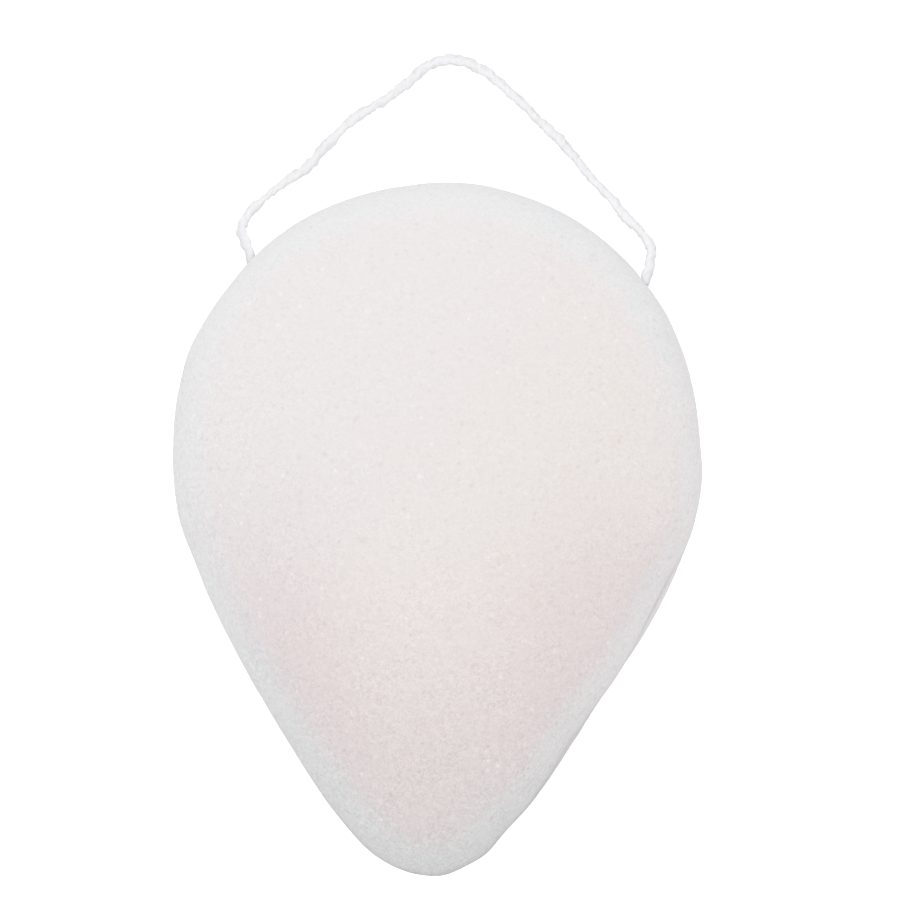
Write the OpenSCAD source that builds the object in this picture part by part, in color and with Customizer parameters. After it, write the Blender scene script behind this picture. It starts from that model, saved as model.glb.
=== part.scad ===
// Konjac sponge: a teardrop of soft plant-fibre foam with a flat back, a rounded rim and a crowned
// front, and a thin cotton string that is threaded across its round head and closed into a loop.
// It lies on its flat back with the crown up. X runs across it, and Y from its tip to its head.
// The origin is on the back face, in the middle of the sponge's width and length.

/* [Sponge] */
// Width across the round head
sponge_w = 80; // [74:1:88]
// Length from the tip to the top of the head
sponge_l = 104; // [98:1:118]
// Thickness at the top of the crown
sponge_h = 24; // [22:0.5:30]
// Radius of the rounded tip
tip_r = 13.5; // [11:0.5:18]
// Radius of the slightly bowed flanks between the head and the tip
flank_r = 170; // [120:5:400]

/* [Rim and crown] */
// Radius of the small round along the edge of the back
back_edge_r = 1.5; // [0.5:0.1:2.5]
// Radius of the large round between the side wall and the front
rim_r = 11; // [8:0.5:12]
// Rise of the crown above the end of the rim's round
crown_h = 8; // [5:0.5:10]
// Distance from the middle of the length towards the head at which the crown is highest
crown_y = 8; // [0:1:14]
// Half width of the oval that the crown's contours turn into near its top
crown_oval_w = 30; // [24:1:36]
// Half length of that oval
crown_oval_l = 36; // [28:1:44]
// Height of the front at the tip, as a share of what it would be on the head
tip_h_share = 0.76; // [0.6:0.02:1]

/* [String] */
// Thickness of the string
string_d = 1.5; // [1:0.1:2]
// Space round the string and its knot in the foam
string_gap = 0.3; // [0.2:0.05:0.5]
// Distance from the top of the head down to the channel, on the sponge's own axis
channel_depth = 12.8; // [10:0.2:18]
// Height of the channel above the back
channel_z = 6; // [4.5:0.25:8]
// Angle by which the hand-threaded channel is out of square, in degrees
channel_tilt = -1.7; // [-4:0.1:4]
// Radius of the dimple that the string pulls into the foam at each exit
exit_dimple_r = 2; // [1.5:0.1:2.6]

/* [Knot] */
// Thickness of the knot
knot_d = 4.4; // [3.6:0.1:5]
// Distance between the middles of the knot's two half hitches
hitch_pitch = 1.8; // [1.2:0.1:2.6]
// Length of the knot and its necks along the channel
knot_l = 8; // [7.6:0.1:10]
// Distance along the channel from the left exit to the knot's middle
knot_depth = 14; // [10:0.5:24]
// Length of each cut tail, from the knot's middle
tail_l = 5.5; // [4:0.25:8]
// Angle between the channel and the tails, in degrees
tail_turn = 55; // [40:1:80]

/* [Loop] */
// Distance that the string runs straight out of an exit before it turns
exit_run = 1.2; // [1:0.1:2]

/* [Hidden] */

// Colours of the foam and the cotton
foam_colour = [0.94, 0.92, 0.9];
cotton_colour = [0.93, 0.93, 0.95];

// Facets of the string's round pieces
round_facets = 48;
// Amount by which a cut runs past what it cuts
overrun = 1;

// The outline is a round head and a round tip, joined by a bowed flank on each side. A flank's
// centre lies across the axis, and its arc touches both circles from outside.
head_r = sponge_w / 2;
head_y = sponge_l / 2 - head_r;
tip_y = tip_r - sponge_l / 2;
head_reach = flank_r - head_r;
tip_reach = flank_r - tip_r;
head_to_tip = head_y - tip_y;
flank_rise = (tip_reach ^ 2 - head_reach ^ 2 - head_to_tip ^ 2) / (2 * head_to_tip);
flank_x = sqrt(head_reach ^ 2 - flank_rise ^ 2);
flank_y = head_y + flank_rise;

// Directions, from a flank's centre, in which that flank meets the head and the tip
head_turn = atan2(flank_rise, flank_x);
tip_turn = atan2(flank_y - tip_y, flank_x);

// Steps along the arcs
head_steps = 38;
flank_steps = 8;
tip_steps = 18;

// Each arc of the outline, counter-clockwise: centre, radius, first and last direction, steps
outline_arcs = [
    [[0, head_y], head_r, -head_turn, 180 + head_turn, head_steps],
    [[flank_x, flank_y], flank_r, 180 + head_turn, 180 + tip_turn, flank_steps],
    [[0, tip_y], tip_r, 180 + tip_turn, 360 - tip_turn, tip_steps],
    [[-flank_x, flank_y], flank_r, 360 - tip_turn, 360 - head_turn, flank_steps]
];

// Each point of the outline: the centre and radius of its arc, and its direction from that centre
outline = [
    for (arc = outline_arcs)
        for (i = [0 : arc[4] - 1])
            [arc[0], arc[1], arc[2] + (arc[3] - arc[2]) * i / arc[4]]
];

// The side in section: a small round at the back, an upright wall and the rim's large round
crown_z = sponge_h - crown_h;
crown_top = [0, crown_y, sponge_h];
crown_power = 2.5;
back_steps = 2;
rim_steps = 6;
crown_steps = 6;

// Distance from under the crown's top to a point, and half the oval's width in that direction
function reach(p) = norm([p.x - crown_top.x, p.y - crown_top.y]);
function oval_reach(p) =
    let (a = atan2(p.y - crown_top.y, p.x - crown_top.x))
    1 / norm([cos(a) / crown_oval_w, sin(a) / crown_oval_l]);

// A point of the outline drawn in by an inset, at one height
function rim_point(o, inset, z) =
    let (r = o[1] - inset)
    [o[0].x + r * cos(o[2]), o[0].y + r * sin(o[2]), z];

// The angle through which the rim's round turns at a point of the outline, so that it ends with the
// slope that the crown starts with there
function rim_angle(o) =
    let (edge = rim_point(o, rim_r / 2, 0))
    atan2(2 * reach(edge) - oval_reach(edge), crown_power * crown_h);

// The front gets lower from the head to the tip
function settled(p) =
    let (share = max(0, head_y - p.y) / (head_y + sponge_l / 2))
    [p.x, p.y, p.z * (1 - (1 - tip_h_share) * share ^ 2)];

// Rings of the back edge, of the rim's round and of the crown, each for a share of its course
function back_ring(share) = [
    for (o = outline)
        rim_point(o, back_edge_r * (1 - sin(90 * share)), back_edge_r * (1 - cos(90 * share)))
];
function rim_ring(share) = [
    for (o = outline)
        let (full = rim_angle(o))
        let (a = full * share)
        settled(rim_point(o, rim_r * (1 - cos(a)), crown_z - rim_r * (sin(full) - sin(a))))
];
function crown_ring(share) = [
    for (o = outline)
        let (edge = rim_point(o, rim_r * (1 - cos(rim_angle(o))), crown_z))
        let (drawn = share * (share + (1 - share) * oval_reach(edge) / reach(edge)))
        let (z = crown_z + crown_h * (1 - share ^ crown_power))
        settled([
            crown_top.x + (edge.x - crown_top.x) * drawn,
            crown_top.y + (edge.y - crown_top.y) * drawn,
            z
        ])
];

sponge_rings = [
    for (i = [0 : back_steps])
        back_ring(i / back_steps),
    for (i = [0 : rim_steps])
        rim_ring(i / rim_steps),
    for (i = [1 : crown_steps])
        crown_ring(cos(90 * i / (crown_steps + 1)))
];

// The channel's line: its middle, its direction and its distance to the rim on each side
channel_y = sponge_l / 2 - channel_depth;
channel_middle = [0, channel_y, channel_z];
channel_along = [cos(channel_tilt), sin(channel_tilt), 0];
channel_d = string_d + 2 * string_gap;
channel_rise = channel_y - head_y;
channel_lean = channel_rise * sin(channel_tilt);
half_chord = sqrt(head_r ^ 2 - channel_rise ^ 2 + channel_lean ^ 2);
left_exit_t = -half_chord - channel_lean;
right_exit_t = half_chord - channel_lean;
knot_t = left_exit_t + knot_depth;

// A point on the channel's line at a distance from its middle
function channel_point(t) = channel_middle + t * channel_along;

// The free loop, from the left exit over the top to the right exit. It drops from the exits to the
// surface that the sponge lies on. The points between the exits are chosen by hand, and counted from
// the top of the head.
head_top = [0, sponge_l / 2, 0];
loop_route = [
    [-29.7, -9.7, 5.4],
    [-30.3, -7.7, 4.4],
    [-29.2, -5.2, 3.1],
    [-26.6, -2.9, 1.9],
    [-23.6, -0.4, 1.1],
    [-21.2, 1.4, 0.8],
    [-19.0, 4.1, 0.8],
    [-16.4, 6.9, 0.8],
    [-13.8, 9.3, 0.8],
    [-10.9, 11.3, 0.8],
    [-8.2, 13.2, 0.8],
    [-5.8, 15.2, 0.8],
    [-3.5, 17.3, 0.8],
    [-1.0, 18.5, 0.8],
    [1.5, 18.4, 0.8],
    [4.2, 17.5, 0.8],
    [6.9, 15.8, 0.8],
    [9.3, 13.8, 0.8],
    [11.6, 11.7, 0.8],
    [14.0, 9.4, 0.8],
    [16.5, 7.2, 0.8],
    [18.8, 4.8, 0.8],
    [20.8, 2.4, 0.8],
    [23.1, 0.1, 1.1],
    [25.4, -2.2, 1.8],
    [27.6, -4.6, 2.7],
    [29.8, -6.8, 3.8],
    [31.3, -9.1, 4.8],
    [31.7, -11.4, 5.6]
];
loop_path = [
    channel_point(left_exit_t),
    channel_point(left_exit_t - exit_run),
    for (p = loop_route) head_top + p,
    channel_point(right_exit_t + exit_run),
    channel_point(right_exit_t)
];
loop_sides = 8;

// The string's direction at a point of the loop: along the channel at both ends
function loop_along(i) =
    let (last = len(loop_path) - 1)
    let (from = loop_path[max(i - 1, 0)])
    let (to = loop_path[min(i + 1, last)])
    (to - from) / norm(to - from);

// One ring of the string round a point of the loop
function loop_ring(i) =
    let (along = loop_along(i))
    let (level = cross([0, 0, 1], along))
    let (side = level / norm(level))
    let (up = cross(along, side))
    [
        for (k = [0 : loop_sides - 1])
            let (a = 360 * k / loop_sides)
            loop_path[i] + string_d / 2 * (cos(a) * side + sin(a) * up)
    ];

// Triangles between rings of equal length, with ring 0 closed round the first point of the list
// and the last ring round its last point
function band(ring_count, around) = [
    for (i = [0 : ring_count - 2])
        for (j = [0 : around - 1])
            let (a = 1 + i * around + j)
            let (b = 1 + i * around + (j + 1) % around)
            each [[a, a + around, b + around], [a, b + around, b]]
];
function first_cap(around) = [
    for (j = [0 : around - 1])
        [0, 1 + j, 1 + (j + 1) % around]
];
function last_cap(ring_count, around) = [
    for (j = [0 : around - 1])
        let (first = 1 + (ring_count - 1) * around)
        [first + around, first + (j + 1) % around, first + j]
];

// A closed solid skinned over rings, between a first and a last middle point
module skin(rings, first_middle, last_middle) {
    around = len(rings[0]);
    polyhedron(
        points = [first_middle, for (r = rings) each r, last_middle],
        faces = concat(first_cap(around), band(len(rings), around), last_cap(len(rings), around))
    );
}

// Puts a child that points along X on the channel's line, at a distance from its middle
module on_channel(t) {
    translate(channel_point(t))
        rotate([0, 0, channel_tilt])
            children();
}

// A round bar along X, between two distances from where it is placed
module bar(from, to, d) {
    translate([from, 0, 0])
        rotate([0, 90, 0])
            cylinder(h = to - from, d = d, $fn = round_facets);
}

// The knot's two half hitches and its two tails, grown by a space on every side
module hitches_and_tails(space) {
    for (side = [-1, 1])
        translate([side * hitch_pitch / 2, 0, 0])
            rotate([0, 90, 0])
                sphere(d = knot_d + 2 * space, $fn = round_facets);
    rotate([0, 0, tail_turn])
        bar(-tail_l - space, tail_l + space, string_d + 2 * space);
}

// The foam, with the channel, the pocket that the knot presses into it and the dimples at the exits
module sponge_body() {
    color(foam_colour)
        difference() {
            skin(sponge_rings, [0, crown_y, 0], crown_top);
            on_channel(0)
                bar(left_exit_t - overrun, right_exit_t + overrun, channel_d);
            on_channel(knot_t)
                hitches_and_tails(string_gap);
            for (t = [left_exit_t, right_exit_t])
                on_channel(t)
                    sphere(r = exit_dimple_r, $fn = round_facets);
        }
}

// The two stretches of string in the channel, from each exit to the knot's neck
module threaded_string() {
    color(cotton_colour) {
        on_channel(0)
            bar(left_exit_t, knot_t - knot_l / 2, string_d);
        on_channel(0)
            bar(knot_t + knot_l / 2, right_exit_t, string_d);
    }
}

// The closing knot, with a short neck on each side that the stretches meet end to end
module string_knot() {
    color(cotton_colour)
        on_channel(knot_t) {
            hitches_and_tails(0);
            bar(-knot_l / 2, knot_l / 2, string_d);
        }
}

module hanging_loop() {
    color(cotton_colour)
        skin(
            [for (i = [0 : len(loop_path) - 1]) loop_ring(i)],
            loop_path[0],
            loop_path[len(loop_path) - 1]
        );
}

sponge_body();
threaded_string();
string_knot();
hanging_loop();
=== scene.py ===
import math

import bpy
import numpy as np
from mathutils import Matrix, Vector, kdtree, noise


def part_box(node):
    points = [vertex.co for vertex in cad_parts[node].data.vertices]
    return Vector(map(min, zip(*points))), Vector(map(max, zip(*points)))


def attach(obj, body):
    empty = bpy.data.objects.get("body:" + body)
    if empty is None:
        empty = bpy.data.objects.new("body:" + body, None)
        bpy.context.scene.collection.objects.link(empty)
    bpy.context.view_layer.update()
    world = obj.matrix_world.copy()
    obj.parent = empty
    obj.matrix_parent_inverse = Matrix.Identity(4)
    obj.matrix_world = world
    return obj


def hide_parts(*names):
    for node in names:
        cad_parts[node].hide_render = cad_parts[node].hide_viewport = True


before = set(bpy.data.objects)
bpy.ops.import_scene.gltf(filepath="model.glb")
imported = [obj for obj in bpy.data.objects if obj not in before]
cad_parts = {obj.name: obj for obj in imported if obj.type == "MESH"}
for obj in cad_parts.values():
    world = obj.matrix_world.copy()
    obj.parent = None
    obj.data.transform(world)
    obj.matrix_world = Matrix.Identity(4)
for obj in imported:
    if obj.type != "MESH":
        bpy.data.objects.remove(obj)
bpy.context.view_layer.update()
bpy.ops.object.select_all(action="DESELECT")
noise.seed_set(11)

MM = 0.001

# The sponge's sizes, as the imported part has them

foam_low, foam_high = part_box("sponge_body")
sponge_w = foam_high.x - foam_low.x
sponge_l = foam_high.y - foam_low.y
sponge_h = foam_high.z - foam_low.z
tip_r = 13.5 * MM
flank_r = 170 * MM
back_edge_r = 1.5 * MM
rim_r = 11 * MM
crown_h = 8 * MM
crown_y = 8 * MM
crown_oval_w = 30 * MM
crown_oval_l = 36 * MM
crown_power = 2.5
tip_h_share = 0.76
crown_z = sponge_h - crown_h

# The teardrop's outline: a round head and a round tip, joined by a bowed flank on each side

head_r = sponge_w / 2
head_y = sponge_l / 2 - head_r
tip_y = tip_r - sponge_l / 2
head_reach = flank_r - head_r
tip_reach = flank_r - tip_r
head_to_tip = head_y - tip_y
flank_rise = (tip_reach**2 - head_reach**2 - head_to_tip**2) / (2 * head_to_tip)
flank_x = math.sqrt(head_reach**2 - flank_rise**2)
flank_y = head_y + flank_rise
head_turn = math.atan2(flank_rise, flank_x)
tip_turn = math.atan2(flank_y - tip_y, flank_x)
outline_arcs = [
    (0, head_y, head_r, -head_turn, math.pi + head_turn),
    (flank_x, flank_y, flank_r, math.pi + head_turn, math.pi + tip_turn),
    (0, tip_y, tip_r, math.pi + tip_turn, 2 * math.pi - tip_turn),
    (-flank_x, flank_y, flank_r, 2 * math.pi - tip_turn, 2 * math.pi - head_turn),
]

# The string: its channel through the head, its knot and the route of its free loop

string_d = 1.5 * MM
string_gap = 0.3 * MM
channel_tilt = math.radians(-1.7)
channel_y = sponge_l / 2 - 12.8 * MM
channel_z = 6 * MM
knot_depth = 14 * MM
knot_l = 8 * MM
knot_d = 4.4 * MM
tail_l = 5.5 * MM
tail_turn = math.radians(55)
channel_middle = Vector((0, channel_y, channel_z))
channel_along = Vector((math.cos(channel_tilt), math.sin(channel_tilt), 0))
channel_rise = channel_y - head_y
channel_lean = channel_rise * math.sin(channel_tilt)
half_chord = math.sqrt(head_r**2 - channel_rise**2 + channel_lean**2)
left_exit_t = -half_chord - channel_lean
right_exit_t = half_chord - channel_lean
knot_t = left_exit_t + knot_depth


def channel_point(t):
    """A point on the channel's line, at a distance from its middle."""
    return channel_middle + t * channel_along


head_top = Vector((0, sponge_l / 2, 0))
loop_route = [
    (-0.0297, -0.0097, 0.0054),
    (-0.0303, -0.0077, 0.0044),
    (-0.0292, -0.0052, 0.0031),
    (-0.0266, -0.0029, 0.0019),
    (-0.0236, -0.0004, 0.0011),
    (-0.0212, 0.0014, 0.0008),
    (-0.0190, 0.0041, 0.0008),
    (-0.0164, 0.0069, 0.0008),
    (-0.0138, 0.0093, 0.0008),
    (-0.0109, 0.0113, 0.0008),
    (-0.0082, 0.0132, 0.0008),
    (-0.0058, 0.0152, 0.0008),
    (-0.0035, 0.0173, 0.0008),
    (-0.0010, 0.0185, 0.0008),
    (0.0015, 0.0184, 0.0008),
    (0.0042, 0.0175, 0.0008),
    (0.0069, 0.0158, 0.0008),
    (0.0093, 0.0138, 0.0008),
    (0.0116, 0.0117, 0.0008),
    (0.0140, 0.0094, 0.0008),
    (0.0165, 0.0072, 0.0008),
    (0.0188, 0.0048, 0.0008),
    (0.0208, 0.0024, 0.0008),
    (0.0231, 0.0001, 0.0011),
    (0.0254, -0.0022, 0.0018),
    (0.0276, -0.0046, 0.0027),
    (0.0298, -0.0068, 0.0038),
    (0.0313, -0.0091, 0.0048),
]

# Bends at the exits: points from inside the foam to the route's end, from the channel's end

BEND_DEPTH = 3.5 * MM
left_bend = [
    channel_point(left_exit_t + BEND_DEPTH),
    channel_point(left_exit_t) + Vector((0.0019, -0.0009, 0)),
    channel_point(left_exit_t) + Vector((0.0006, -0.0013, 0)),
    channel_point(left_exit_t) + Vector((-0.0002, -0.00075, 0)),
    channel_point(left_exit_t) + Vector((-0.00055, 0.0004, -0.0001)),
]
right_bend = [
    channel_point(right_exit_t) + Vector((0.00098, 0.0024, -0.0004)),
    channel_point(right_exit_t) + Vector((0.00075, 0.00095, -0.0001)),
    channel_point(right_exit_t) + Vector((0.0003, -0.00065, 0)),
    channel_point(right_exit_t) + Vector((-0.0006, -0.0012, 0)),
    channel_point(right_exit_t) + Vector((-0.0019, -0.00075, 0)),
    channel_point(right_exit_t - BEND_DEPTH),
]
loop_points = [*left_bend, *[head_top + Vector(p) for p in loop_route], *right_bend]

# Camera: from above through a long lens, with a lean that shows a sliver of the lower right side

VIEW_MIDDLE = Vector((1.93, 11.75, 4.0)) * MM
VIEW_SPAN = 134.8 * MM
VIEW_ROLL = math.radians(1.75)
LEAN = math.radians(3)
LEAN_TOWARDS = math.radians(-30)
LENS = 300
SENSOR = 36
NEAREST = 0.05
FURTHEST = 20


def photograph_camera():
    data = bpy.data.cameras.new("camera")
    data.lens = LENS
    data.sensor_width = SENSOR
    data.clip_start = NEAREST
    data.clip_end = FURTHEST
    camera = bpy.data.objects.new("camera", data)
    bpy.context.scene.collection.objects.link(camera)
    back = Vector((
        math.sin(LEAN) * math.cos(LEAN_TOWARDS),
        math.sin(LEAN) * math.sin(LEAN_TOWARDS),
        math.cos(LEAN),
    ))
    up = Vector((-math.sin(VIEW_ROLL), math.cos(VIEW_ROLL), 0))
    right = up.cross(back).normalized()
    up = back.cross(right)
    distance = VIEW_SPAN * LENS / SENSOR
    turn = Matrix((right, up, back)).transposed().to_4x4()
    camera.matrix_world = Matrix.Translation(VIEW_MIDDLE + back * distance) @ turn
    bpy.context.scene.camera = camera


photograph_camera()


# Tools for meshes

def mesh_piece(name, points, faces):
    """A smooth piece from points and faces."""
    mesh = bpy.data.meshes.new(name)
    mesh.from_pydata([tuple(p) for p in points], [], faces)
    mesh.update()
    mesh.shade_smooth()
    piece = bpy.data.objects.new(name, mesh)
    bpy.context.scene.collection.objects.link(piece)
    return piece


def apply_modifier(piece, kind, **settings):
    """Adds a modifier and applies it."""
    made = piece.modifiers.new(kind.lower(), kind)
    for name, value in settings.items():
        setattr(made, name, value)
    with bpy.context.temp_override(object=piece, active_object=piece):
        bpy.ops.object.modifier_apply(modifier=made.name)


def join_pieces(pieces):
    """Joins pieces into the first of them."""
    with bpy.context.temp_override(
        active_object=pieces[0],
        object=pieces[0],
        selected_objects=pieces,
        selected_editable_objects=pieces,
    ):
        bpy.ops.object.join()


def cut_away(piece, cutter):
    """Takes the cutter's shape out of a piece and deletes the cutter."""
    apply_modifier(piece, "BOOLEAN", operation="DIFFERENCE", solver="EXACT", object=cutter)
    bpy.data.objects.remove(cutter)


def skin_faces(ring_count, around):
    """Faces over rings of points, closed round point 0 and round the last point."""
    faces = [(0, 1 + (j + 1) % around, 1 + j) for j in range(around)]
    for i in range(ring_count - 1):
        for j in range(around):
            a = 1 + i * around + j
            b = 1 + i * around + (j + 1) % around
            faces.append((a, b, b + around, a + around))
    first = 1 + (ring_count - 1) * around
    last = first + around
    faces += [(first + j, first + (j + 1) % around, last) for j in range(around)]
    return faces


def eased(value, low, high):
    """0 below low, 1 above high, and smooth between them."""
    share = min(1.0, max(0.0, (value - low) / (high - low)))
    return share * share * (3 - 2 * share)


def hump(away, spread):
    """1 in the middle, 0 beyond the spread, and smooth between them."""
    return (1 + math.cos(math.pi * away / spread)) / 2 if abs(away) < spread else 0.0


# Cotton string

RING_STEP = 0.2 * MM
CURVE_STEPS = 12
STRING_SIDES = 30
PLIES = 3
PLY_DEPTH_SHARE = 0.03
TWIST_PITCH = 9 * MM
SLUB_SPAN = 4.2 * MM
SLUB_SHARE = 0.3
NUB_SPAN = 1.0 * MM
NUB_SHARE = 0.36
FLUFF_SPAN = 0.55 * MM
FLUFF_SHARE = 0.22
WANDER_SPAN = 3.1 * MM
WANDER = 0.16 * MM
LIFT_SHARE = 0.4
LOOSE_RINGS = 12
THIN_RUN = 23.5 * MM
THIN_SPAN = 4.5 * MM
THIN_SHARE = 0.2
FLOOR_GAP = 0.02 * MM

# Where the string strays from its route: distance along it, spread, and sway towards the sponge

string_sways = [
    (26 * MM, 7 * MM, -0.35 * MM),
    (39 * MM, 8 * MM, -0.25 * MM),
    (50 * MM, 5 * MM, -0.2 * MM),
    (97 * MM, 8 * MM, 0.3 * MM),
]


def even_line(points, step):
    """A smooth line through the points, with a point at every step of its length."""
    p = [np.array(q, float) for q in (points[0], *points, points[-1])]
    fine = []
    for a, b, c, d in zip(p, p[1:], p[2:], p[3:]):
        for t in np.linspace(0, 1, CURVE_STEPS, endpoint=False):
            bend = 2 * a - 5 * b + 4 * c - d
            turn = -a + 3 * b - 3 * c + d
            fine.append(b + (t * (c - a) + t**2 * bend + t**3 * turn) / 2)
    fine = np.array([*fine, p[-2]])
    runs = np.concatenate([[0], np.cumsum(np.linalg.norm(np.diff(fine, axis=0), axis=1))])
    marks = np.linspace(0, runs[-1], max(2, round(runs[-1] / step) + 1))
    return np.stack([np.interp(marks, runs, fine[:, k]) for k in range(3)], axis=1)


def length_of(line):
    """The length of a line of points."""
    return float(np.linalg.norm(np.diff(line, axis=0), axis=1).sum())


def string_reach(run, out, ply):
    """Half the string's thickness at a distance along it, to one side: a soft yarn with slubs, with nubs
    on one side or the other, with loose fluff, and with one thin stretch."""
    slub = noise.noise(Vector((run / SLUB_SPAN, 3.3, 0)))
    nub = noise.noise(out * 0.8 + Vector((run / NUB_SPAN, 0, 8.1)))
    fluff = noise.noise((out * string_d / 2 + Vector((run, 0, 0))) / FLUFF_SPAN)
    swelling = SLUB_SHARE * slub + NUB_SHARE * nub + FLUFF_SHARE * fluff + PLY_DEPTH_SHARE * ply
    swelling -= THIN_SHARE * math.exp(-(((run - THIN_RUN) / THIN_SPAN) ** 2))
    return string_d / 2 * (1 + swelling)


def string_piece(name, line, run_before, wander=1.0):
    """Twisted cotton along a line. run_before is the length of string that comes before the line, so
    that stretches that meet have the same twist and thickness there."""
    along = np.gradient(line, axis=0)
    along /= np.linalg.norm(along, axis=1)[:, None]
    side = np.cross(along[0], (0, 0, 1))
    rings, path, uv = [], [], []
    run = run_before
    last = len(line) - 1
    for i, place in enumerate(line):
        side = side - along[i] * (side @ along[i])
        side /= np.linalg.norm(side)
        up = np.cross(side, along[i])
        if i:
            run += float(np.linalg.norm(place - line[i - 1]))
        loose = wander * min(1.0, i / LOOSE_RINGS, (last - i) / LOOSE_RINGS)
        sway = WANDER * loose * noise.noise(Vector((run / WANDER_SPAN, 5.7, 1.9)))
        sway += sum(wander * off * hump(run - middle, wide) for middle, wide, off in string_sways)
        lift = LIFT_SHARE * WANDER * loose * noise.noise(Vector((run / WANDER_SPAN, 9.2, 4.4)))
        middle = place + sway * side + lift * up
        for k in range(STRING_SIDES):
            angle = -2 * math.pi * k / STRING_SIDES
            ply = math.cos(PLIES * (angle - 2 * math.pi * run / TWIST_PITCH))
            out = math.cos(angle) * side + math.sin(angle) * up
            point = middle + string_reach(run, Vector(out), ply) * out
            point[2] = max(point[2], FLOOR_GAP)
            rings.append(point)
        path.append(middle)
        uv.append(run / string_d)
    piece = mesh_piece(name, [line[0], *rings, line[-1]], skin_faces(len(line), STRING_SIDES))
    add_string_uv(piece, uv)
    return piece, path


def plain_tube(name, line, radius):
    """A round tube along a line that lies nearly level."""
    along = np.gradient(line, axis=0)
    side = np.cross(along, (0, 0, 1))
    side /= np.linalg.norm(side, axis=1)[:, None]
    up = np.cross(side, along)
    up /= np.linalg.norm(up, axis=1)[:, None]
    angles = np.linspace(0, -2 * math.pi, STRING_SIDES, endpoint=False)
    rings = [
        place + radius * (math.cos(angle) * out + math.sin(angle) * over)
        for place, out, over in zip(line, side, up)
        for angle in angles
    ]
    return mesh_piece(name, [line[0], *rings, line[-1]], skin_faces(len(line), STRING_SIDES))


def add_string_uv(piece, runs):
    """U goes along the string in string thicknesses, and V once round it."""
    layer = piece.data.uv_layers.new(name="along_string")
    for loop in piece.data.loops:
        ring, k = divmod(max(0, loop.vertex_index - 1), STRING_SIDES)
        layer.data[loop.index].uv = (runs[min(ring, len(runs) - 1)], k / STRING_SIDES)


inner_left = even_line([channel_point(knot_t - knot_l / 2), left_bend[0]], RING_STEP)
free_loop = even_line(loop_points, RING_STEP)
inner_right = even_line([right_bend[-1], channel_point(knot_t + knot_l / 2)], RING_STEP)

hanging_string, loop_centre = string_piece("hanging_string", free_loop, length_of(inner_left))
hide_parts("hanging_loop")
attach(hanging_string, "loop")

threaded, _ = string_piece("threaded_stretches", inner_left, 0, wander=0)
threaded_right, _ = string_piece(
    "threaded_right", inner_right, length_of(inner_left) + length_of(free_loop), wander=0
)
join_pieces([threaded, threaded_right])
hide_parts("threaded_string")
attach(threaded, "sponge")

# Closing knot: the string's ends, wound round each other in two half hitches, and their cut tails

HITCH_TURNS = 1.75
HITCH_STEPS = 22
HITCH_L = 5.4 * MM
HITCH_R = (knot_d - string_d) / 2
NECK_R_SHARE = 0.35
NECK_GROWTH = 3


def knot_end(side):
    """The line of one end, from its neck through the hitches to its tail. Side is -1 or 1."""
    points = [Vector((side * knot_l / 2, 0, 0))]
    for i in range(HITCH_STEPS + 1):
        share = i / HITCH_STEPS
        angle = side * math.pi / 2 + 2 * math.pi * HITCH_TURNS * share
        radius = HITCH_R * min(1.0, NECK_R_SHARE + NECK_GROWTH * share)
        along = side * HITCH_L * (0.5 - share)
        points.append(Vector((along, radius * math.cos(angle), radius * math.sin(angle))))
    tail = Vector((math.cos(tail_turn), math.sin(tail_turn), 0)) * -side * tail_l
    points.append((points[-1] + tail) / 2)
    points.append(tail)
    turn = Matrix.Rotation(channel_tilt, 3, "Z")
    return [channel_point(knot_t) + turn @ p for p in points]


closing_knot, _ = string_piece("closing_knot", even_line(knot_end(-1), RING_STEP), 0, wander=0)
other_end, _ = string_piece("other_end", even_line(knot_end(1), RING_STEP), 50 * MM, wander=0)
join_pieces([closing_knot, other_end])
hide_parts("string_knot")
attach(closing_knot, "sponge")

# Foam sponge: its smooth form

OUTLINE_STEP = 0.8 * MM
BEND_STEP = 0.5 * MM
BACK_RINGS = 4
RIM_RINGS = 18
CROWN_RINGS = 30
BORE_SIDES = 32
POCKET_STRETCH = 1.4
LOOP_SWING = math.radians(105)
SWING_STEPS = 4
ROOM_VOXEL = 0.2 * MM


def outline_rows():
    """Each point of the outline as its arc's centre and radius, and its direction from there."""
    rows = []
    for x, y, radius, first, last in outline_arcs:
        steps = round(radius * (last - first) / OUTLINE_STEP)
        for i in range(steps):
            rows.append((x, y, radius, first + (last - first) * i / steps))
    return np.array(rows).T


arc_x, arc_y, arc_r, arc_direction = outline_rows()


def drawn_in(inset):
    """The outline drawn in by an inset."""
    radius = arc_r - inset
    return arc_x + radius * np.cos(arc_direction), arc_y + radius * np.sin(arc_direction)


def reach(x, y):
    """Distance from under the crown's top."""
    return np.hypot(x, y - crown_y)


def oval_reach(x, y):
    """Half the width, in a point's direction, of the oval that the crown's contours turn into."""
    angle = np.arctan2(y - crown_y, x)
    return 1 / np.hypot(np.cos(angle) / crown_oval_w, np.sin(angle) / crown_oval_l)


def settled(x, y, z):
    """Points of the front, which gets lower from the head to the tip."""
    share = np.maximum(0, head_y - y) / (head_y + sponge_l / 2)
    return np.stack([x, y, z * (1 - (1 - tip_h_share) * share**2)], axis=1)


def back_ring(share):
    """A ring of the small round along the back's edge."""
    x, y = drawn_in(back_edge_r * (1 - math.sin(math.pi / 2 * share)))
    z = back_edge_r * (1 - math.cos(math.pi / 2 * share))
    return np.stack([x, y, np.full(len(x), z)], axis=1)


def rim_ring(share):
    """A ring of the rim's large round, which turns until it has the slope of the crown."""
    angle = rim_angles * share
    x, y = drawn_in(rim_r * (1 - np.cos(angle)))
    return settled(x, y, crown_z - rim_r * (np.sin(rim_angles) - np.sin(angle)))


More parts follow.
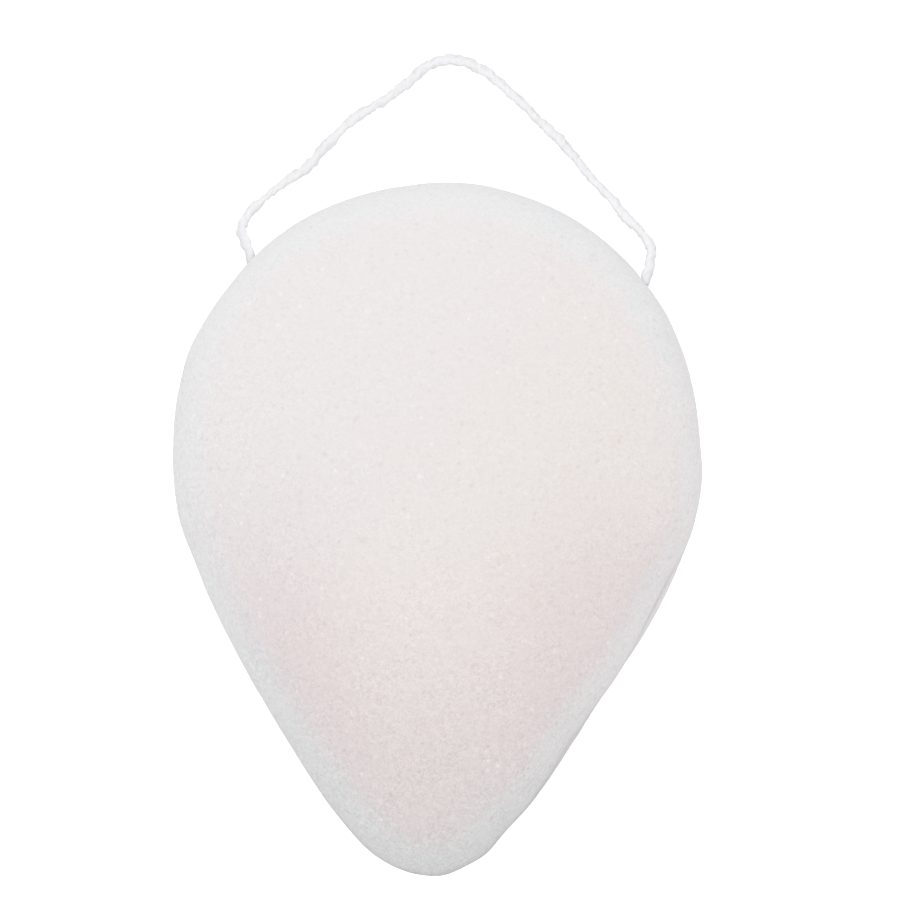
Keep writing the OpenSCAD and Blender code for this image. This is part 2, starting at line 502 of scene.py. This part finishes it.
def crown_ring(share):
    """A ring of the crown, at a share of the way from its top to the rim."""
    x, y = drawn_in(rim_r * (1 - np.cos(rim_angles)))
    drawn = share * (share + (1 - share) * oval_reach(x, y) / reach(x, y))
    z = np.full(len(x), crown_z + crown_h * (1 - share**crown_power))
    return settled(x * drawn, crown_y + (y - crown_y) * drawn, z)


half_x, half_y = drawn_in(rim_r / 2)
rim_angles = np.arctan2(
    2 * reach(half_x, half_y) - oval_reach(half_x, half_y), crown_power * crown_h
)


def swing_room(bend):
    """The room that a bend of the string takes up while the loop swings."""
    there = Matrix.Translation(channel_middle)
    tubes = []
    for i in range(SWING_STEPS + 1):
        tube = plain_tube("room", even_line(bend, BEND_STEP), string_d / 2)
        swing = Matrix.Rotation(LOOP_SWING * i / SWING_STEPS, 4, channel_along)
        tube.data.transform(there @ swing @ there.inverted())
        tubes.append(tube)
    join_pieces(tubes)
    apply_modifier(tubes[0], "REMESH", mode="VOXEL", voxel_size=ROOM_VOXEL)
    return tubes[0]


def smooth_sponge():
    """The sponge's form with the string's channel, the knot's pocket and room at the exits for the
    string's bends, from where they lie to where the loop's full swing takes them."""
    rings = [back_ring(i / BACK_RINGS) for i in range(BACK_RINGS + 1)]
    rings += [rim_ring(i / RIM_RINGS) for i in range(RIM_RINGS + 1)]
    rings += [
        crown_ring(math.cos(math.pi / 2 * i / (CROWN_RINGS + 1))) for i in range(1, CROWN_RINGS + 1)
    ]
    points = [(0, crown_y, 0), *[p for ring in rings for p in ring], (0, crown_y, sponge_h)]
    piece = mesh_piece("foam_sponge", points, skin_faces(len(rings), len(arc_r)))
    bpy.ops.mesh.primitive_cylinder_add(
        vertices=BORE_SIDES,
        radius=string_d / 2 + string_gap,
        depth=right_exit_t - left_exit_t - 2 * BEND_DEPTH,
        location=channel_point((left_exit_t + right_exit_t) / 2),
        rotation=(0, math.pi / 2, channel_tilt),
    )
    cut_away(piece, bpy.context.object)
    bpy.ops.mesh.primitive_uv_sphere_add(
        segments=BORE_SIDES,
        ring_count=BORE_SIDES // 2,
        radius=knot_d / 2 + string_gap,
        location=channel_point(knot_t),
        rotation=(0, 0, channel_tilt),
        scale=(POCKET_STRETCH, 1, 1),
    )
    cut_away(piece, bpy.context.object)
    bpy.ops.mesh.primitive_cylinder_add(
        vertices=BORE_SIDES,
        radius=string_d / 2 + string_gap,
        depth=2 * (tail_l + string_gap),
        location=channel_point(knot_t),
        rotation=(0, math.pi / 2, channel_tilt + tail_turn),
    )
    cut_away(piece, bpy.context.object)
    for bend in (left_bend, right_bend):
        cut_away(piece, swing_room(bend))
    return piece


# Foam sponge: lumps, pores and fibres of the cooked plant gel

VOXEL = 0.31 * MM
LUMP_SPAN = 24 * MM
LUMP_RISE = 0.35 * MM
SWELL_SPAN = 3.4 * MM
SWELL_RISE = 0.05 * MM
FIBRE_SPAN = 0.95 * MM
FIBRE_RISE = 0.03 * MM
PIT_CELL = 1.6 * MM
PIT_R_LEAST = 0.3 * MM
PIT_R_MOST = 0.55 * MM
PIT_DEPTH = 0.16 * MM
PIT_SHARE_HEAD = 0.08
PIT_SHARE_ADDED = 0.3
RIM_BAND = 10 * MM
RIM_NARROWED = 0.4
CHANNEL_KEPT = string_d / 2 + string_gap + 0.2 * MM
EXIT_KEPT = 3 * MM

# Uneven edge: each rise's direction from the sponge's middle, its spread in degrees, and its height

EDGE_MIDDLE = Vector((0.2, 7.3, 0)) * MM
EDGE_IN = 0.25 * MM
EDGE_FADE = 14 * MM
edge_rises = [
    (9, 8, -0.12 * MM),
    (19, 18, -0.45 * MM),
    (32, 6, -0.12 * MM),
    (64, 26, 0.2 * MM),
    (84, 7, 0.13 * MM),
    (97, 8, -0.13 * MM),
    (106, 16, -0.25 * MM),
    (139, 14, -0.25 * MM),
    (155, 8, 0.25 * MM),
    (176, 16, -0.35 * MM),
    (193, 9, 0.14 * MM),
    (208, 15, 0.2 * MM),
    (240, 22, -0.25 * MM),
    (261, 9, -0.45 * MM),
    (272, 3, 0.15 * MM),
    (276.5, 3.5, -0.22 * MM),
    (279, 15, 0.6 * MM),
    (282, 4, -0.16 * MM),
    (287, 4, 0.15 * MM),
    (297, 5, -0.18 * MM),
    (301, 15, -0.65 * MM),
    (317, 6, -0.12 * MM),
    (333, 19, -0.85 * MM),
    (334, 29, 0.78 * MM),
    (356, 16, 0.35 * MM),
]
foot_rises = [
    (296, 14, 0.5 * MM),
    (333, 19, 0.85 * MM),
]
FOOT_LOW = 1.5 * MM
FOOT_HIGH = 5.2 * MM
CREASE_WIDE = 0.8 * MM
CREASE_DEEP = 0.1 * MM


def rise_at(rises, direction):
    """The sum of all rises at a direction in degrees."""
    return sum(
        rise * hump((direction - middle + 180) % 360 - 180, spread) for middle, spread, rise in rises
    )


def edge_push(p, from_edge):
    """How far a point moves outwards from the sponge's middle, for the uneven edge, for the foot, which
    is a lip along the right flank, and for the crease above it. Also gives the foot's share, for the
    material."""
    fade = 1 - eased(from_edge, 1 * MM, EDGE_FADE)
    if fade == 0:
        return 0.0, 0.0
    direction = math.degrees(math.atan2(p.y - EDGE_MIDDLE.y, p.x - EDGE_MIDDLE.x))
    lip = rise_at(foot_rises, direction)
    low = min(1.0, max(0.0, (FOOT_HIGH - p.z) / (FOOT_HIGH - FOOT_LOW)))
    push = rise_at(edge_rises, direction) - EDGE_IN + lip * low
    crease = max(0.0, 1 - abs(p.z - FOOT_HIGH) / CREASE_WIDE)
    near_wall = 1 - eased(from_edge, 1.5 * MM, 3 * MM)
    foot_share = eased(lip, 0.1 * MM, 0.8 * MM)
    push = push * fade - CREASE_DEEP * crease * near_wall * foot_share
    return push, foot_share * near_wall * eased(FOOT_HIGH - p.z, -2.2 * MM, 0.4 * MM)


def pit_at(p):
    """How deep a pore is at a point, from 0 to 1. There are more of them towards the tip."""
    distances, places = noise.voronoi(p / PIT_CELL)
    chance = (noise.cell(places[0] * 17.3) + 1) / 2
    if chance > PIT_SHARE_HEAD + PIT_SHARE_ADDED * eased(-p.y, -30 * MM, 40 * MM):
        return 0.0
    size = (noise.cell(places[0] * 29.9 + Vector((5, 5, 5))) + 1) / 2
    radius = PIT_R_LEAST + (PIT_R_MOST - PIT_R_LEAST) * size
    inside = 1 - (distances[0] * PIT_CELL / radius) ** 2
    return max(0.0, inside) ** 1.5 * (0.5 + 0.5 * size)


def roughen(piece):
    """Moves the skin in and out as foam has it, and keeps the pores' depth, the rim's share and the
    foot's share for the material."""
    mesh = piece.data
    count = len(mesh.vertices)
    places = np.empty(count * 3, np.float32)
    normals = np.empty(count * 3, np.float32)
    mesh.vertices.foreach_get("co", places)
    mesh.vertices.foreach_get("normal", normals)
    places, normals = places.reshape(-1, 3), normals.reshape(-1, 3)
    edge = kdtree.KDTree(len(arc_r))
    for i, (x, y) in enumerate(zip(*drawn_in(0))):
        edge.insert((x, y, 0), i)
    edge.balance()
    pits = np.zeros(count, np.float32)
    rim = np.zeros(count, np.float32)
    foot = np.zeros(count, np.float32)
    moved = places.copy()
    for i in range(count):
        p, n = Vector(places[i]), Vector(normals[i])
        from_middle = p - channel_middle
        from_channel = (from_middle - channel_along * from_middle.dot(channel_along)).length
        if from_channel < CHANNEL_KEPT and abs(from_middle.x) < half_chord - EXIT_KEPT:
            continue
        from_edge = edge.find((p.x, p.y, 0))[2]
        to_lower_right = eased(p.x - 0.4 * p.y, 20 * MM, 37 * MM)
        rim[i] = max(0, 1 - from_edge / (RIM_BAND * (1 - RIM_NARROWED * to_lower_right)))
        pits[i] = pit_at(p)
        lump = LUMP_RISE * noise.noise(p / LUMP_SPAN)
        swell = SWELL_RISE * noise.noise(p / SWELL_SPAN)
        fibre = FIBRE_RISE * (0.5 - abs(noise.noise(p / FIBRE_SPAN)) * 2)
        rise = lump + swell + fibre - PIT_DEPTH * pits[i]
        if n.z < -0.5:
            rise = min(rise, 0)
        push, foot[i] = edge_push(p, from_edge)
        outwards = Vector((p.x - EDGE_MIDDLE.x, p.y - EDGE_MIDDLE.y, 0)).normalized()
        moved[i] = p + n * rise + outwards * push
    moved[:, 2] = np.maximum(moved[:, 2], 0)
    mesh.vertices.foreach_set("co", moved.ravel())
    mesh.attributes.new("pore", "FLOAT", "POINT").data.foreach_set("value", pits)
    mesh.attributes.new("rim", "FLOAT", "POINT").data.foreach_set("value", rim)
    mesh.attributes.new("foot", "FLOAT", "POINT").data.foreach_set("value", foot)
    mesh.update()


sponge = smooth_sponge()
apply_modifier(sponge, "REMESH", mode="VOXEL", voxel_size=VOXEL, use_smooth_shade=True)
apply_modifier(sponge, "SMOOTH", factor=0.5, iterations=4)
roughen(sponge)
sponge.data.shade_smooth()
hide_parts("sponge_body")
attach(sponge, "sponge")

# Materials


def tone(red, green, blue):
    """A colour from its screen values of 0 to 255, as the shader takes it."""
    shares = [v / 255 for v in (red, green, blue)]
    return (*[v / 12.92 if v <= 0.04045 else ((v + 0.055) / 1.055) ** 2.4 for v in shares], 1)


def node(tree, kind, inputs=(), **settings):
    """Adds a shader node, with its settings and with a value or a link at each named input."""
    made = tree.nodes.new("ShaderNode" + kind)
    for name, value in settings.items():
        setattr(made, name, value)
    for key, value in dict(inputs).items():
        if isinstance(value, bpy.types.NodeSocket):
            tree.links.new(value, made.inputs[key])
        else:
            made.inputs[key].default_value = value
    return made


def blended(tree, share, first, second, how="MIX"):
    """The colour that goes from the first to the second with the share."""
    made = node(tree, "Mix", {0: share, 6: first, 7: second}, data_type="RGBA", blend_type=how)
    return made.outputs[2]


def tinted(tree, share, colour, *tint):
    """The colour, multiplied by the tint's red, green and blue as far as the share says."""
    return blended(tree, share, colour, (*tint, 1), how="MULTIPLY")


def ranged(tree, value, low, high, to_low=0.0, to_high=1.0):
    """A value brought from one range to another, smoothly, and kept inside it."""
    made = node(
        tree,
        "MapRange",
        {0: value, 1: low, 2: high, 3: to_low, 4: to_high},
        interpolation_type="SMOOTHSTEP",
    )
    return made.outputs[0]


def worked(tree, how, first, second=0.5, third=0.5):
    """The result of a sum on up to three values."""
    return node(tree, "Math", {0: first, 1: second, 2: third}, operation=how).outputs[0]


def new_material(name):
    """A material with an empty tree and its output."""
    material = bpy.data.materials.new(name)
    material.use_nodes = True
    tree = material.node_tree
    tree.nodes.clear()
    return material, tree, node(tree, "OutputMaterial")


GRAIN_MIDDLE = Vector((0, 30, 20)) * MM
GRAIN_NEAR = 5 * MM
GRAIN_FAR = 90 * MM


def strands(tree, place, scale, half_width):
    """1 along thin, curled strands and 0 between them."""
    swirl = node(
        tree,
        "TexNoise",
        {"Vector": place, "Scale": scale, "Detail": 2.0, "Roughness": 0.55, "Distortion": 0.8},
    ).outputs["Fac"]
    away = worked(tree, "ABSOLUTE", worked(tree, "SUBTRACT", swirl, 0.5))
    return ranged(tree, away, 0.0, half_width, 1.0, 0.0)


def fine_grain(tree, place, from_head):
    """How pale the grain is at a point, about 0.5: a mottle with pale and dark strands, in clumps, which
    gets stronger from the head to the tip."""
    mottle = node(
        tree, "TexNoise", {"Vector": place, "Scale": 1650.0, "Detail": 2.0, "Roughness": 0.6}
    ).outputs["Fac"]
    clumps = node(tree, "TexNoise", {"Vector": place, "Scale": 200.0, "Detail": 1.0}).outputs["Fac"]
    pale_strand = strands(tree, place, 1350.0, 0.08)
    elsewhere = node(tree, "VectorMath", {0: place, 1: (0.31, 0.17, 0.23)}).outputs[0]
    dark_strand = strands(tree, elsewhere, 1300.0, 0.055)
    relief = worked(tree, "SUBTRACT", mottle, 0.5)
    relief = worked(tree, "MULTIPLY_ADD", pale_strand, 0.37, relief)
    relief = worked(tree, "MULTIPLY_ADD", dark_strand, -0.44, relief)
    strength = ranged(tree, from_head, GRAIN_NEAR, GRAIN_FAR, 0.34, 1.18)
    strength = worked(tree, "MULTIPLY", strength, ranged(tree, clumps, 0.36, 0.62, 0.75, 1.15))
    return worked(tree, "MULTIPLY_ADD", relief, strength, 0.5)


def front_tone(tree, place, parts, rim):
    """Warm white in soft patches: pink to the upper left, peach to the lower right, lilac by the rim."""
    pink = tone(237.8, 234.2, 233.7)
    peach = tone(238.4, 233, 230.5)
    patches = node(tree, "TexNoise", {"Vector": place, "Scale": 90.0, "Detail": 2.0}).outputs["Fac"]
    to_right = worked(tree, "MULTIPLY_ADD", parts["Y"], -0.75, parts["X"])
    to_right = worked(tree, "MULTIPLY_ADD", patches, 25 * MM, to_right)
    warm = blended(tree, ranged(tree, to_right, -26 * MM, 32 * MM), pink, peach)
    return tinted(tree, ranged(tree, rim, 0.1, 0.4), warm, 1, 1, 1.012)


def rim_tone(tree, parts):
    """Neutral white, a little pinker at the lower right."""
    lower_right = worked(tree, "MULTIPLY_ADD", parts["Y"], -0.3, parts["X"])
    lower_right = ranged(tree, lower_right, 18 * MM, 38 * MM)
    return blended(tree, lower_right, tone(236.6, 237.1, 237.9), tone(239, 236.4, 237.2))


def foam_tone(tree, place, rim, foot):
    """The foam's colour without its grain: a warm front and a neutral rim, both with painted shade
    towards the tip, with painted shade on the flanks and round the wall, more on the lower edge, and
    along the foot painted light on the lip and painted shade in the crease."""
    parts = node(tree, "SeparateXYZ", {0: place}).outputs
    down = worked(tree, "MULTIPLY_ADD", parts["X"], 0.1, parts["Y"])
    # Painted shade: the front and the rim get darker towards the tip.
    lower = ranged(tree, down, -8 * MM, -55 * MM)
    warm = tinted(tree, lower, front_tone(tree, place, parts, rim), 0.862, 0.845, 0.859)
    neutral = tinted(tree, lower, rim_tone(tree, parts), 0.866, 0.866, 0.868)
    blush = ranged(tree, parts["Y"], 2 * MM, -16 * MM)
    blush = worked(tree, "MULTIPLY", blush, ranged(tree, parts["Y"], -46 * MM, -28 * MM))
    warm = tinted(tree, blush, warm, 0.995, 0.981, 0.984)
    base = blended(tree, ranged(tree, rim, 0.3, 0.78), warm, neutral)

    # Painted shade on the sloping flanks beside the middle of the front, darker and a little pinker.
    sideways = ranged(tree, worked(tree, "ABSOLUTE", parts["X"]), 4 * MM, 26 * MM)
    flank = worked(tree, "MULTIPLY", sideways, ranged(tree, parts["Y"], 18 * MM, -17 * MM))
    flank = worked(tree, "MULTIPLY", flank, ranged(tree, parts["Z"], 10.5 * MM, 14.5 * MM))
    base = tinted(tree, flank, base, 0.955, 0.933, 0.942)

    # Painted shade on the wall below the rim, all round except on the foot.
    off_foot = worked(tree, "SUBTRACT", 1.0, foot)
    edge = worked(tree, "MULTIPLY", off_foot, ranged(tree, parts["Z"], 8.5 * MM, 5.5 * MM))
    base = tinted(tree, edge, base, 0.97, 0.97, 0.973)
    # Painted shade, stronger, on the low wall towards the tip.
    below = ranged(tree, down, 5 * MM, -45 * MM)
    low_edge_shade = worked(tree, "MULTIPLY", below, ranged(tree, parts["Z"], 7.5 * MM, 4 * MM))
    low_edge_shade = worked(tree, "MULTIPLY", low_edge_shade, off_foot)
    base = tinted(tree, low_edge_shade, base, 0.79, 0.785, 0.79)

    # Along the foot: painted light on the lip and painted shade in and above its crease.
    crease = worked(tree, "MULTIPLY", foot, ranged(tree, parts["Z"], 2.9 * MM, 4.3 * MM))
    lip = worked(tree, "SUBTRACT", foot, crease)
    base = tinted(tree, lip, base, 1.02, 1.015, 1.015)
    return tinted(tree, crease, base, 0.88, 0.87, 0.87)


def konjac_foam():
    """Matte off-white foam with fine fibres, a few painted glints, and painted shade in its pits and in
    many small pores.
    """
    material, tree, output = new_material("konjac_foam")
    place = node(tree, "TexCoord").outputs["Object"]
    rim = node(tree, "Attribute", attribute_name="rim").outputs["Fac"]
    pore = node(tree, "Attribute", attribute_name="pore").outputs["Fac"]
    foot = node(tree, "Attribute", attribute_name="foot").outputs["Fac"]
    from_head = node(tree, "VectorMath", {0: place, 1: GRAIN_MIDDLE}, operation="DISTANCE")
    from_head = from_head.outputs["Value"]

    bright = fine_grain(tree, place, from_head)
    base = foam_tone(tree, place, rim, foot)
    shaded = tinted(tree, 1.0, base, 0.89, 0.875, 0.87)
    lit = tinted(tree, 1.0, base, 1.08, 1.085, 1.09)
    base = blended(tree, bright, shaded, lit)

    cells = node(tree, "TexVoronoi", {"Vector": place, "Scale": 640.0}, feature="F1").outputs
    spot = ranged(tree, cells["Distance"], 0.05, 0.28, 1.0, 0.0)
    chance = node(tree, "SeparateColor", {0: cells["Color"]}).outputs[0]
    # Painted glints: a few pale specks as highlights on the fibres.
    painted_glint = worked(tree, "MULTIPLY", spot, worked(tree, "LESS_THAN", chance, 0.08))
    # Painted shade of pores: the dented pits, and many small spots that have no dent, are darker and a
    # little warmer, more of them towards the tip.
    small_pore_shade = worked(tree, "MULTIPLY", spot, worked(tree, "GREATER_THAN", chance, 0.45))
    pore_shade_share = ranged(tree, from_head, GRAIN_NEAR, GRAIN_FAR, 0.34, 0.6)
    pore_shade_share = worked(tree, "MULTIPLY", small_pore_shade, pore_shade_share)
    base = blended(tree, worked(tree, "MULTIPLY", painted_glint, 0.5), base, tone(250, 249, 248))
    base = blended(tree, worked(tree, "MULTIPLY", pore, 0.22), base, tone(204, 184, 176))
    base = tinted(tree, pore_shade_share, base, 0.87, 0.83, 0.82)

    bump = node(tree, "Bump", {"Strength": 0.3, "Distance": 0.1 * MM, "Height": bright})
    shader = node(
        tree,
        "BsdfPrincipled",
        {
            "Base Color": base,
            "Roughness": 0.9,
            "Specular IOR Level": 0.2,
            "Subsurface Weight": 0.25,
            "Subsurface Radius": (1.0, 0.85, 0.75),
            "Subsurface Scale": 0.7 * MM,
            "Normal": bump.outputs[0],
        },
    )
    tree.links.new(shader.outputs[0], output.inputs[0])
    return material


def twisted_cotton():
    """Undyed white cotton with fine fibres, with painted light on the loop's inner side and painted
    shade on its outer side.
    """
    material, tree, output = new_material("twisted_cotton")
    place = node(tree, "UVMap", uv_map="along_string").outputs[0]
    fibres = node(
        tree,
        "TexNoise",
        {
            "Vector": node(tree, "Mapping", {0: place, 3: (3.0, 26.0, 1.0)}).outputs[0],
            "Scale": 1.0,
            "Detail": 3.0,
            "Distortion": 0.6,
        },
    ).outputs["Fac"]
    dull, bright = tone(229.5, 229, 231), tone(234.5, 234, 236)
    base = blended(tree, ranged(tree, fibres, 0.35, 0.65), dull, bright)
    # Painted light on the loop's inner side, away from the lamp, and painted shade on its outer side,
    # facing the lamp, which even out the lamp's shading.
    around = worked(tree, "MULTIPLY", node(tree, "SeparateXYZ", {0: place}).outputs[1], 2 * math.pi)
    inner_side = ranged(tree, worked(tree, "COSINE", around), -1.0, 1.0)
    painted_shade_side = tinted(tree, 1.0, base, 0.91, 0.91, 0.91)
    inside = tinted(tree, 1.0, base, 1.09, 1.09, 1.09)
    base = blended(tree, inner_side, painted_shade_side, inside)
    bump = node(tree, "Bump", {"Strength": 0.2, "Distance": 0.04 * MM, "Height": fibres})
    shader = node(
        tree,
        "BsdfPrincipled",
        {
            "Base Color": base,
            "Roughness": 0.95,
            "Specular IOR Level": 0.15,
            "Subsurface Weight": 1.0,
            "Subsurface Radius": (1.0, 1.0, 1.0),
            "Subsurface Scale": 1.2 * MM,
            "Sheen Weight": 0.5,
            "Sheen Roughness": 0.4,
            "Normal": bump.outputs[0],
        },
    )
    tree.links.new(shader.outputs[0], output.inputs[0])
    return material


def dress(piece, material):
    """Gives a piece one material."""
    piece.data.materials.clear()
    piece.data.materials.append(material)


dress(sponge, konjac_foam())
cotton = twisted_cotton()
for piece in (hanging_string, threaded, closing_knot):
    dress(piece, cotton)

# Studio: a white floor, a white surround and one soft lamp from beyond the head

FLOOR_SPAN = 6.0
FLOOR_GLOW = 0.7
ROOM_LIGHT = 0.77
LAMP_LIGHT = 0.25
LAMP_SPREAD = math.radians(60)
LAMP_FROM = Vector((-0.11, 0.32, 0.92))


def seen_directly(tree):
    """1 for what the camera, a reflection or glass looks at, and 0 for light that reaches a piece."""
    ray = node(tree, "LightPath").outputs
    looked = worked(tree, "MAXIMUM", ray["Is Camera Ray"], ray["Is Glossy Ray"])
    return worked(tree, "MAXIMUM", looked, ray["Is Transmission Ray"])


def white_floor():
    bpy.ops.mesh.primitive_plane_add(size=FLOOR_SPAN, location=(0, 0, 0))
    floor = bpy.context.object
    floor.name = "floor"
    material, tree, output = new_material("white_floor")
    paint = node(tree, "BsdfDiffuse", {"Color": tone(242, 242, 242)})
    strength = worked(tree, "MULTIPLY", seen_directly(tree), FLOOR_GLOW)
    glow = node(tree, "Emission", {"Color": (1, 1, 1, 1), "Strength": strength})
    lit = node(tree, "AddShader", {0: paint.outputs[0], 1: glow.outputs[0]})
    tree.links.new(lit.outputs[0], output.inputs[0])
    dress(floor, material)


def white_surround():
    world = bpy.data.worlds.new("surround")
    world.use_nodes = True
    tree = world.node_tree
    tree.nodes.clear()
    strength = ranged(tree, seen_directly(tree), 0.0, 1.0, ROOM_LIGHT, 1.0)
    light = node(tree, "Background", {"Color": (1, 1, 1, 1), "Strength": strength})
    output = node(tree, "OutputWorld")
    tree.links.new(light.outputs[0], output.inputs[0])
    bpy.context.scene.world = world


def soft_lamp():
    data = bpy.data.lights.new("soft_lamp", "SUN")
    data.energy = LAMP_LIGHT * math.pi
    data.angle = LAMP_SPREAD
    lamp = bpy.data.objects.new("soft_lamp", data)
    bpy.context.scene.collection.objects.link(lamp)
    lamp.rotation_mode = "QUATERNION"
    lamp.rotation_quaternion = LAMP_FROM.to_track_quat("Z", "Y")


white_floor()
white_surround()
soft_lamp()
bpy.context.scene.view_settings.view_transform = "Standard"
